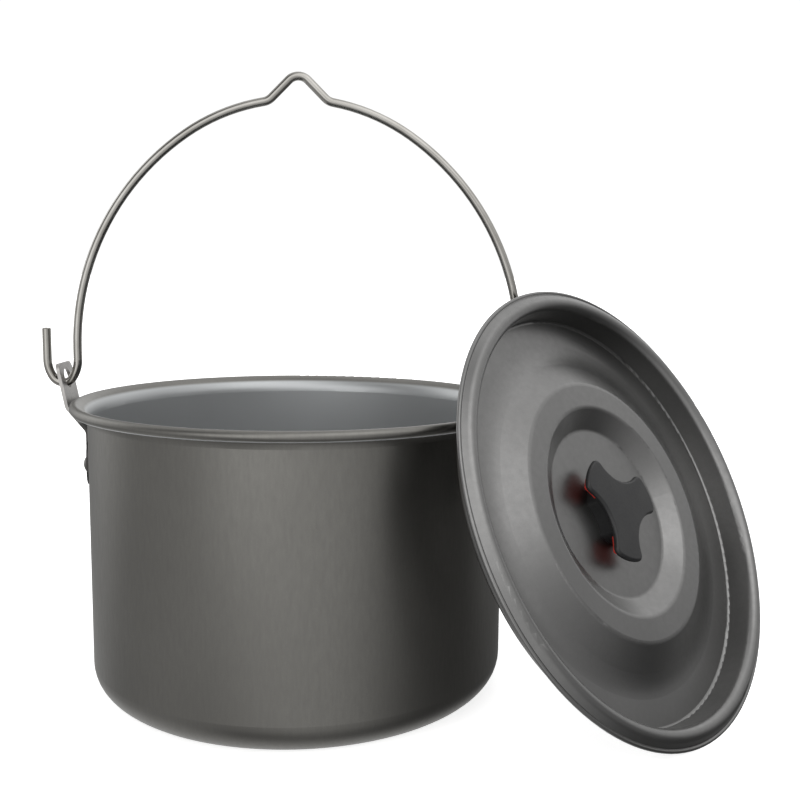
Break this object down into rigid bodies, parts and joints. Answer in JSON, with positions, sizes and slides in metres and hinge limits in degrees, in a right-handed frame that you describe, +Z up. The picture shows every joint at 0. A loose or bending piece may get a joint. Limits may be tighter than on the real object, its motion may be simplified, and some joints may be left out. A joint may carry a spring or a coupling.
{
  "type": "cooking pot set",
  "caption": "Deep round camp cooking pot with a rolled rim, a folding wire bail hooked into riveted lugs, and a recessed lift-off lid with a winged knob.",
  "frame": {"origin": "centre of the pot's flat bottom", "axes": "+Z up along the pot's axis, +X to the pot's right, -Y to the front, where the lid leans at the right"},
  "size_m": [0.4139, 0.2857, 0.3409],
  "materials": {
    "anodised_aluminium": "satin hard-anodised",
    "strap_steel": "brushed stainless",
    "wire_steel": "polished stainless wire",
    "rivet_metal": "satin",
    "red_silicone": "satin silicone",
    "black_plastic": "semi-gloss moulded",
    "insert_brass": "turned",
    "fastener_steel": "bright stainless"
  },
  "bodies": {
    "pot": {"pot_body": "anodised_aluminium", "lug_left": "strap_steel", "lug_right": "strap_steel", "rivet_left_front": "rivet_metal", "rivet_left_back": "rivet_metal", "rivet_right_front": "rivet_metal", "rivet_right_back": "rivet_metal"},
    "bail": {"bail": "wire_steel"},
    "lid": {"lid_shell": "anodised_aluminium", "knob_pad_1": "red_silicone", "knob_pad_2": "red_silicone", "knob_pad_3": "red_silicone", "knob_cap": "black_plastic", "knob_insert": "insert_brass", "knob_screw": "fastener_steel", "flat_washer": "fastener_steel", "spring_washer": "fastener_steel"}
  },
  "joints": [
    {"name": "bail_swing", "type": "hinge", "parent": "pot", "child": "bail", "pos_m": [0, 0, 0.1703], "axis": [-0.9971, 0.0758, 0], "range_deg": [0, 107]},
    {"name": "lid_lift", "type": "slide", "parent": "pot", "child": "lid", "axis": [0.6, -0.664, 0.4462], "range_m": [0, 0.25]}
  ]
}
